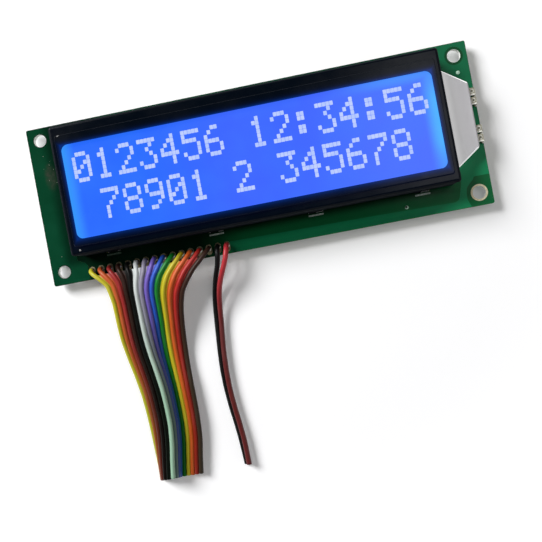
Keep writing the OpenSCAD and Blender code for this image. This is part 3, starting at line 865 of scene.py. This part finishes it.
@dataclass
class Lead:
    """The fourteen-wire ribbon and the separate pair, from the pads to their cut ends.

    Each station of the ribbon gives y, x and z of its crown wire, then gap and curl of the wires left of it, gap and
    fall of the four right of it, and gap and slope of the last ones.
    """

    ribbon: int = 14
    ribbon_d: float = 1.25
    pair_d: float = 1.4
    crown: int = 5
    fall_share: Row = (0.8, 1, 1.1, 0.4)
    lean: float = 0.2
    web_t: float = 0.36
    web_reach: float = 2.52
    web_start: float = -21.2
    strands: Coated = Coated(rgb(176, 104, 62), rgb(140, 78, 46), 0.4, 0.2)
    stations: tuple[Row, ...] = (
        (-19.6, -36.95, 4.1, 2.54, 0, 2.54, 0, 2.54, 0), (-19.6, -36.95, 4.8, 2.54, 0, 2.54, 0, 2.54, 0),
        (-20.1, -36.93, 5.8, 2.5, 0, 2.46, 0, 2.54, 0), (-21.1, -36.8, 6.6, 2.34, 0, 2.22, 0, 2.53, 0),
        (-22.6, -36.75, 7, 2.04, 0, 1.88, 0, 2.46, 0), (-24.4, -37.2, 7.1, 1.65, 0, 1.63, 0, 2.33, 0),
        (-26.2, -37.6, 7.1, 1.46, 0, 1.5, 0, 2.18, 0), (-28, -37.8, 7, 1.36, 0, 1.4, 3, 1.97, 0),
        (-30, -37.9, 6.7, 1.3, 0, 1.34, 6, 1.75, 0), (-33, -37.98, 6.3, 1.29, 2, 1.32, 15, 1.55, 0),
        (-36, -38.02, 6, 1.29, 5, 1.32, 25, 1.45, 0), (-40, -38, 5.6, 1.29, 13, 1.32, 40, 1.42, 0),
        (-45, -37.6, 5.2, 1.29, 25, 1.29, 52, 1.37, 0), (-50, -36.85, 5.1, 1.29, 32, 1.28, 62, 1.3, -6),
        (-55, -36.2, 5.1, 1.28, 36, 1.28, 68, 1.28, -14), (-60, -35.9, 5.1, 1.28, 41, 1.28, 71, 1.28, -16),
        (-65, -35.85, 5.1, 1.28, 47, 1.28, 72, 1.28, -18), (-70, -36.3, 5.1, 1.29, 61, 1.29, 73, 1.29, -16),
        (-75, -37.1, 5.1, 1.29, 80, 1.29, 74, 1.29, -15), (-79.6, -37.75, 5.1, 1.29, 95, 1.29, 76, 1.29, -13))
    black: tuple[Point3, ...] = (
        (-14.09, -19.6, 4.1), (-14.09, -19.6, 4.8), (-14.12, -20.1, 5.7), (-14.2, -21.2, 6.3), (-14.45, -22.8, 6.3),
        (-14.95, -24.8, 5.8), (-15.95, -27.2, 4.7), (-16.85, -29.8, 3.3), (-17.7, -33, 1.95), (-18.22, -36, 1.15),
        (-18.65, -40, 0.77), (-19.03, -44.5, 0.74), (-19.36, -49, 0.74), (-19.54, -54, 0.74), (-19.42, -59, 0.74),
        (-19, -64, 0.74), (-18.42, -69, 0.74), (-17.97, -74, 0.74), (-17.66, -80, 0.74))
    red: tuple[Point3, ...] = (
        (-11.55, -19.6, 4.1), (-11.55, -19.6, 4.8), (-11.6, -20.1, 5.9), (-11.8, -21.3, 6.7), (-12.25, -23, 6.9),
        (-13.1, -25, 6.6), (-14.3, -27.4, 5.8), (-15.42, -30, 4.7), (-16.26, -33, 3.4), (-16.8, -36, 2.3),
        (-17.28, -40, 1.62), (-17.78, -44.5, 1.56), (-18.16, -49, 1.6), (-18.38, -54, 1.66), (-18.32, -59, 1.73),
        (-17.93, -64, 1.78), (-17.4, -69, 1.84), (-17, -74, 1.9), (-16.9, -80, 2.02))
    # Each wire's tone near the pads, where it faces the light, then its painted shading at the cut end, mostly darker.
    skins: tuple[Vinyl, ...] = (
        Vinyl(rgb(186, 178, 38), rgb(168, 168, 34)), Vinyl(rgb(190, 86, 38), rgb(132, 66, 18)),
        Vinyl(rgb(152, 40, 38), rgb(84, 28, 14)), Vinyl(rgb(48, 28, 22), rgb(16, 8, 5), bloom=0.003, gloss=0.14),
        Vinyl(rgb(14, 15, 14), rgb(4, 12, 5), bloom=0.002, gloss=0.12), Vinyl(rgb(200, 206, 204), rgb(150, 186, 160)),
        Vinyl(rgb(138, 134, 152), rgb(92, 116, 112)), Vinyl(rgb(112, 92, 182), rgb(54, 80, 146)),
        Vinyl(rgb(38, 86, 190), rgb(18, 84, 158)), Vinyl(rgb(20, 122, 42), rgb(14, 122, 22)),
        Vinyl(rgb(190, 178, 34), rgb(198, 186, 38)), Vinyl(rgb(202, 91, 35), rgb(188, 84, 21)),
        Vinyl(rgb(172, 40, 35), rgb(130, 29, 13)), Vinyl(rgb(56, 34, 26), rgb(52, 40, 28), bloom=0.003, gloss=0.2),
        Vinyl(rgb(13, 13, 13), rgb(12, 11, 10), bloom=0.002, gloss=0.2),
        Vinyl(rgb(184, 46, 54), rgb(92, 27, 26), turn=(-21, -42)))

    def ribbon_point(self, wire: int, row: Row) -> Vector:
        """Place of one ribbon wire at one station.

        Args:
            wire: Number of the wire from the left, from 0.
            row: The station's values.

        Returns:
            The place in millimetres.
        """
        y, x, z, left_gap, curl, right_gap, fall, last_gap, slope = row
        side = -1 if wire < self.crown else 1
        run = drop = 0.0
        for j in range(1, abs(wire - self.crown) + 1):
            if side < 0:
                gap, angle = left_gap, curl * (j - 0.5) / self.crown
            elif j <= len(self.fall_share):
                gap, angle = right_gap, fall * self.fall_share[j - 1]
            else:
                gap, angle = last_gap, slope
            run += gap * math.cos(math.radians(angle))
            drop += gap * math.sin(math.radians(angle))
        return Vector((x + side * run, y - self.lean * drop, z - drop))

    def wires(self) -> list[Wire]:
        """All sixteen wires, with the names of the CAD nodes that they stand for.

        Returns:
            The ribbon's wires from the left, then the pair.
        """
        names = sorted(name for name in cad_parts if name.startswith("wire_"))
        routes = [[self.ribbon_point(wire, row) for row in self.stations] for wire in range(self.ribbon)]
        routes += [[Vector(point) for point in route] for route in (self.black, self.red)]
        sizes = [self.ribbon_d] * self.ribbon + [self.pair_d] * 2
        return [Wire(*values) for values in zip(names, routes, sizes, self.skins)]

    def build(self) -> None:
        """Make the wires and the thin webs that bond the ribbon."""
        tin = Tin().make("lead_tin")
        copper = self.strands.make("copper_strands")
        wires = self.wires()
        skins = [wire.build(tin, copper) for wire in wires]
        self._webs([wire.path() for wire in wires[:self.ribbon]], skins[:self.ribbon])

    def _webs(self, paths: list[list[Vector]], skins: list[Material]) -> None:
        """Bond neighbouring ribbon wires where they run side by side, each half in its own wire's colour.

        Args:
            paths: Centrelines of the ribbon wires in metres.
            skins: Materials of their insulation.
        """
        bm = bmesh.new()
        for left, (first, second) in enumerate(zip(paths, paths[1:])):
            right = left + 1
            marks = (left, right, right, right, left, left)
            rings = []
            for i, (a, b) in enumerate(zip(first[:-2], second)):
                if (b - a).length < self.web_reach * MM and a.y < self.web_start * MM:
                    along = (first[i + 1] - a).normalized()
                    up = along.cross((b - a).normalized()).normalized() * (self.web_t / 2 * MM)
                    mid = (a + b) / 2
                    rings.append([bm.verts.new(p) for p in (a + up, mid + up, b + up, b - up, mid - up, a - up)])
            for ring, after in zip(rings, rings[1:]):
                for s, mark in enumerate(marks):
                    t = (s + 1) % len(marks)
                    bm.faces.new((ring[s], ring[t], after[t], after[s])).material_index = mark
            for ring in (rings[0], rings[-1]):
                for corners, mark in (((0, 1, 4, 5), left), ((1, 2, 3, 4), right)):
                    bm.faces.new([ring[s] for s in corners]).material_index = mark
        add_piece("ribbon_web", close_mesh(bm, "ribbon_web"), skins)


@dataclass
class Screen:
    """Front of the screen: the lit film and two lines of lit dots. Each digit is seven rows of five bits."""

    lines: tuple[str, str] = ("0123456 12:34:56", " 78901 2 345678 ")
    columns: int = 16
    pitch: Point2 = (5.97, 10.72)
    dot: Point2 = (0.92, 1.1)
    dot_corner: float = 0.12
    step: Point2 = (0.975, 1.154)
    centre: Point2 = (0.05, 1.72)
    proud: float = 0.02
    digits: dict[str, tuple[int, ...]] = field(default_factory=lambda: {
        "0": (14, 17, 19, 21, 25, 17, 14), "1": (4, 12, 4, 4, 4, 4, 14), "2": (14, 17, 1, 2, 4, 8, 31),
        "3": (31, 2, 4, 2, 1, 17, 14), "4": (2, 6, 10, 18, 31, 2, 2), "5": (31, 16, 30, 1, 1, 17, 14),
        "6": (6, 8, 16, 30, 17, 17, 14), "7": (31, 1, 2, 4, 8, 8, 8), "8": (14, 17, 17, 14, 17, 17, 14),
        "9": (14, 17, 17, 15, 1, 2, 12), ":": (0, 12, 12, 0, 12, 12, 0), " ": (0,) * 7})

    def lit(self) -> Iterable[Point2]:
        """Middle of each lit dot.

        Returns:
            The places, one at a time.
        """
        for line, text in enumerate(self.lines):
            for column, sign in enumerate(text):
                x = self.centre[0] + (column - (self.columns - 1) / 2) * self.pitch[0]
                y = self.centre[1] + (0.5 - line) * self.pitch[1]
                for row, bits in enumerate(self.digits[sign]):
                    for place in range(5):
                        if bits >> (4 - place) & 1:
                            yield x + (place - 2) * self.step[0], y + (3.5 - row) * self.step[1]

    def build(self) -> None:
        """Dress the film and set the lit dots on it."""
        dress(LitField(), "front_polarizer", name="lit_field")
        maker = MeshMaker()
        w, h = self.dot[0] / 2, self.dot[1] / 2
        for x, y in self.lit():
            maker.plate([rounded(x - w, y - h, x + w, y + h, self.dot_corner, 3)], Level.FILM, Level.FILM + self.proud)
        add_piece("lit_dots", maker.finish("lit_dots"), (Dot().make("lit_dot"),))


@dataclass
class Board:
    """Circuit board: mask tones over its copper with painted light and shade, tinned parts, painted highlights at its
    slots, and dust.

    A hole's room, the via and a speck are x, y and radius; a test point is x, y, radius and height.
    """

    foil: float = 0.03
    # The third colour of each is the paler green painted as light where the bezel and the ear shade the board.
    mask: SolderMask = SolderMask(rgb(9, 42, 26), rgb(5, 32, 17), rgb(16, 104, 58), (1.0, 1.0))
    over_copper: SolderMask = SolderMask(rgb(13, 70, 46), rgb(9, 60, 37), rgb(26, 146, 94), (0.66, 0.25))
    ring: Tin = Tin(rgb(250, 240, 206), rgb(236, 224, 184), 0.4, 0.1)
    pads: Tin = Tin(rgb(140, 132, 104), rgb(104, 98, 72), 0.45, 0.5)
    solder: Tin = Tin(rgb(196, 194, 190), rgb(120, 116, 108), 0.28)
    # Pale strips by the slots, painted highlights; the second is the dimmer copy for the left slots, painted shade.
    slot_highlight: Tin = Tin(rgb(206, 218, 210), rgb(164, 182, 172), 0.45, 0.1)
    slot_highlight_shaded: Tin = Tin(rgb(92, 116, 100), rgb(66, 92, 76), 0.5, 0.1)
    point_tin: Tin = Tin(rgb(212, 248, 226), rgb(182, 228, 202), 0.4, 0.1)
    via_shade: Coated = Coated(rgb(24, 40, 30), rgb(16, 28, 20), 0.6, 0.2)
    dust: Coated = Coated(rgb(190, 196, 180), rgb(150, 158, 140), 0.8, 0.1)
    border: Point2 = (60.9, 21.9)
    notch_x: float = 60.15
    notches: Row = (-5.9, -0.9, 4.0, 9.0)
    inner: tuple[Point2, ...] = (
        (-50.7, -21.9), (-50.7, -18.0), (-51.2, -17.2), (-53.3, -16.0), (-53.3, 20.1), (53.3, 20.1), (53.3, -15.0),
        (52.3, -18.6), (51.9, -19.4), (51.0, -19.9), (30.0, -19.4), (-10.6, -18.8), (-10.6, -21.9))
    keep_out: tuple[Point2, ...] = (
        (54.9, -21.9), (54.15, -19.8), (54.2, -18.0), (54.6, -16.6), (55.4, -15.7), (56.4, -14.85), (56.85, -14.05),
        (60.9, -14.05))
    hole_rooms: tuple[Point3, ...] = ((57.5, 18.5, 2.45), (-57.5, 18.5, 1.95), (-57.5, -18.5, 1.95))
    slot_x: Row = (-42.8, -13.8, 13.8, 42.8)
    rim_y: Span = (-16.4, 20.45)
    rim: Point2 = (4.1, 0.45)
    rim_corner: float = 0.15
    rim_proud: float = 0.02
    # Slots left of this x take the dimmer painted highlight.
    shaded_until: float = -40.0
    points: tuple[Row, ...] = ((57.8, 13.9, 0.52, 0.15), (38.0, -18.8, 0.5, 0.03))
    via: Point3 = (37.9, -18.7, 0.3)
    specks: tuple[Point3, ...] = (
        (-57.4, 14.1, 0.1), (-56.2, 11.4, 0.12), (-55.2, 10.1, 0.09), (-55.9, 12.4, 0.07), (-57.5, -14.2, 0.1),
        (-54.6, 9.0, 0.08), (-56.9, 7.2, 0.07), (-54.9, 6.3, 0.08), (-57.9, 10.6, 0.06))

    def build(self) -> None:
        """Dress the board and its metal, and add the copper, the tinned parts, the painted highlights at the slots and
        the dust on its front.
        """
        dress(self.mask, "board", name="mask_dark")
        dress(self.ring, "ground_ring", name="tin_ring")
        dress(self.pads, "header_pads", name="tin_pads")
        dress(self.solder, "header_solder", name="solder")
        self._front_copper()
        self._painted_slot_highlights()
        self._test_points()
        self._dust_specks()

    def _front_copper(self) -> None:
        """Copper field round the front's border, seen as paler green through the mask."""
        maker = MeshMaker()
        end, high = self.border
        steps = [(x, y) for i, y in enumerate(self.notches) for x in (end, self.notch_x)[::-1 if i % 2 else 1]]
        outline = [(-end, -high), *self.inner, *self.keep_out, *steps, (end, high), (-end, high)]
        maker.plate([outline, *(circle(*room) for room in self.hole_rooms)], Level.BOARD_FRONT,
                    Level.BOARD_FRONT + self.foil)
        add_piece("front_copper", maker.finish("front_copper"), (self.over_copper.make("mask_copper"),))

    def _painted_slot_highlights(self) -> None:
        """Pale strips by the slots for the bezel's tabs, painted highlights of their lit edges, dimmer at the left as
        painted shade.
        """
        maker = MeshMaker()
        half, width = self.rim[0] / 2, self.rim[1]
        for x in self.slot_x:
            for low in self.rim_y:
                maker.plate([rounded(x - half, low, x + half, low + width, self.rim_corner)], Level.BOARD_FRONT,
                            Level.BOARD_FRONT + self.foil + self.rim_proud, int(x < self.shaded_until))
        tins = (self.slot_highlight.make("painted_slot_highlight"), self.slot_highlight_shaded.make("painted_slot_highlight_shaded"))
        add_piece("painted_slot_highlights", maker.finish("painted_slot_highlights"), tins)

    def _test_points(self) -> None:
        """Tinned test points; the lower one carries a dark disc, painted shade for a via's hole."""
        maker = MeshMaker()
        base = Level.BOARD_FRONT + self.foil
        for x, y, radius, rise in self.points:
            profile = ((radius, -0.02), (radius, 0.03), (radius * 0.7, rise), (0, rise))
            maker.lathe((x, y), [(reach, base + height) for reach, height in profile])
        # The via: a dark disc, painted shade standing for its hole.
        x, y, radius = self.via
        maker.lathe((x, y), ((radius, base + 0.031), (0, base + 0.032)), index=1)
        finishes = (self.point_tin.make("tin_points"), self.via_shade.make("via_hole_shade"))
        add_piece("test_points", maker.finish("test_points"), finishes)

    def _dust_specks(self) -> None:
        """Pale specks that lie on the board's left end."""
        maker = MeshMaker()
        base = Level.BOARD_FRONT + self.foil
        for x, y, radius in self.specks:
            maker.lathe((x, y), ((radius, base - 0.01), (radius * 0.8, base + 0.04), (0, base + 0.06)), 7)
        add_piece("dust_specks", maker.finish("dust_specks"), (self.dust.make("dust"),))


@dataclass
class Housing:
    """Bezel, backlight with its ear and terminals, glass, films, and the parts behind the board."""

    terminal: Tin = Tin(rgb(198, 195, 176), rgb(174, 171, 150), 0.4, 0.4)
    # Pale beads on the prongs, painted highlights.
    bead_highlight: Tin = Tin(rgb(252, 252, 246), rgb(240, 238, 228), 0.4, 0.1)
    hole_shade: Coated = Coated(rgb(134, 132, 112), rgb(110, 108, 90), 0.6, 0.3)
    glass: Coated = Coated(rgb(150, 176, 170), rgb(132, 160, 152), 0.12, 4)
    film: Coated = Coated(rgb(228, 232, 236), rgb(216, 220, 226), 0.35, 3)
    zebra: Coated = Coated(rgb(64, 64, 66), rgb(190, 190, 186), 0.6, 0.3, 0.02, (1, 0.02, 0.02))
    resin: Coated = Coated(rgb(22, 22, 24), rgb(34, 34, 36), 0.28, 1.5, 0.05)
    lamp_board: Coated = Coated(rgb(214, 208, 190), rgb(200, 192, 170), 0.5)
    lamp: Coated = Coated(rgb(240, 226, 150), rgb(236, 214, 120), 0.3)
    chip_black: Coated = Coated(rgb(26, 26, 28), rgb(40, 40, 42), 0.45)
    chip_tan: Coated = Coated(rgb(150, 118, 84), rgb(134, 102, 70), 0.5)
    prong_y: Row = (-4.625, -2.175, 5.275, 7.725)
    bead: Row = (-1.6, -1.0, -0.25, -0.62)
    bead_corner: float = 0.15
    bead_z: Span = (-0.02, 0.08)
    eyelet: Point2 = (-0.95, 0.15)
    eyelet_rings: tuple[Point2, ...] = ((0.5, -0.01), (0.5, 0.02), (0.36, 0.03), (0.3, -0.03))
    eyelet_floor: tuple[Point2, ...] = ((0.38, 0.005), (0, 0.006))

    def build(self) -> None:
        """Give each carried-over CAD node its finish."""
        dress(BezelPaint(), "bezel", name="bezel_black")
        dress(Moulded(), "backlight_housing", name="housing_white")
        dress(self.terminal, "backlight_leads", name="terminal_tin")
        self._terminal_ends()
        dress(Tin(), "lead_solder", name="terminal_solder")
        dress(self.glass, "front_glass", "rear_glass")
        dress(self.film, "rear_polarizer", "diffuser_film", "reflector_film", "light_guide")
        dress(self.zebra, "zebra_upper", "zebra_lower")
        dress(self.lamp_board, "led_board")
        dress(self.lamp, "leds", name="lamp")
        dress(self.resin, "controller_blob", "driver_blob")
        dress(self.chip_black, "smd_resistors", name="chip_black")
        dress(self.chip_tan, "smd_capacitors", name="chip_tan")

    def _terminal_ends(self) -> None:
        """Pale beads along one side of each prong, painted highlights, and a dish whose floor is painted shade for its
        hole.
        """
        maker = MeshMaker()
        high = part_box("backlight_leads")[1]
        top, end = high[2] / MM, high[0] / MM
        x0, y0, x1, y1 = self.bead
        for y in self.prong_y:
            bead = rounded(end + x0, y + y0, end + x1, y + y1, self.bead_corner)
            maker.plate([bead], *(top + z for z in self.bead_z))
            centre = (end + self.eyelet[0], y + self.eyelet[1])
            # Each eyelet's dish, with a floor in the painted shade of the punched hole.
            for index, rings in enumerate((self.eyelet_rings, self.eyelet_floor)):
                maker.lathe(centre, [(radius, top + rise) for radius, rise in rings], index=index)
        finishes = (self.bead_highlight.make("terminal_bead_highlight"), self.hole_shade.make("terminal_hole_shade"))
        add_piece("terminal_ends", maker.finish("terminal_ends"), finishes)


@dataclass(frozen=True)
class Lamp:
    """Soft round lamp that looks at the module; its place and size are in metres, its power in watts."""

    name: str
    place: Point3
    power: float
    size: float

    def build(self) -> None:
        """Hang the lamp in the scene."""
        data = bpy.data.lights.new(self.name, "AREA")
        data.shape = "DISK"
        data.size = self.size
        data.energy = self.power
        lamp = bpy.data.objects.new(self.name, data)
        bpy.context.scene.collection.objects.link(lamp)
        lamp.location = self.place
        lamp.rotation_euler = (-Vector(self.place)).to_track_quat("-Z", "Y").to_euler()


@dataclass
class Studio:
    """Pale floor, soft light from the upper left, a weak soft box overhead, and the photograph's camera."""

    eye: Point3 = (13.78, -29.10, 207.0)
    right: Point3 = (0.98012, -0.18502, -0.07170)
    up: Point3 = (0.18463, 0.98273, -0.01201)
    back: Point3 = (0.07268, -0.00146, 0.99735)
    focal_px: float = 750.0
    frame_px: float = 542.0
    sensor: float = 36.0
    clip: float = 5.0
    floor_radius: float = 2500.0
    floor_depth: float = 4.0
    sky: Span = (0.0, 0.7)
    sky_level: Span = (0.7, 0.03)
    horizon: Span = (0.3, 0.15)
    lamps: tuple[Lamp, ...] = (
        Lamp("key", (-0.83, 0.73, 0.86), 25.4, 0.7), Lamp("fill", (0.72, -0.58, 0.92), 1.0, 0.8),
        Lamp("soft_box", (0.2, 0.1, 0.62), 0.32, 0.24))

    def camera(self) -> None:
        """Set up the camera at the photograph's place."""
        data = bpy.data.cameras.new("camera")
        data.sensor_width = self.sensor
        data.lens = self.sensor * self.focal_px / self.frame_px
        data.clip_start = self.clip * MM
        camera = bpy.data.objects.new("camera", data)
        bpy.context.scene.collection.objects.link(camera)
        axes = Matrix((self.right, self.up, self.back)).transposed().to_4x4()
        camera.matrix_world = Matrix.Translation(Vector(self.eye) * MM) @ axes
        bpy.context.scene.camera = camera

    def floor(self) -> None:
        """Lay a wide pale floor."""
        maker = MeshMaker()
        maker.plate([circle(0, 0, self.floor_radius, 64)], -self.floor_depth, 0.0)
        piece = bpy.data.objects.new("floor", maker.finish("floor"))
        piece.data.materials.append(FloorWhite().make("floor"))
        bpy.context.scene.collection.objects.link(piece)

    def world(self) -> None:
        """Surround the module with soft light that is bright low down and dim overhead, white at the horizon."""
        world = bpy.data.worlds.new("studio")
        world.use_nodes = True
        sky = Nodes(world.node_tree)
        height = sky.split(sky.add("ShaderNodeTexCoord").outputs["Generated"])[2]
        white = sky.times(sky.seen(), sky.step(height, *self.horizon, kind="LINEAR"))
        shine = sky.nodes["Background"].inputs
        sky.put(shine["Strength"], sky.most(sky.step(height, *self.sky, *self.sky_level), white))
        sky.put(shine["Color"], WHITE)
        bpy.context.scene.world = world

    def build(self) -> None:
        """Light the scene and lay the floor."""
        bpy.context.scene.view_settings.view_transform = "Standard"
        self.floor()
        self.world()
        for lamp in self.lamps:
            lamp.build()


def main() -> None:
    """Build the camera, the lead, the module's parts and the studio in order."""
    logging.basicConfig(level=logging.INFO, format="%(name)s: %(message)s")
    studio = Studio()
    studio.camera()
    Lead().build()
    Screen().build()
    Board().build()
    Housing().build()
    studio.build()


if __name__ == "__main__":
    main()
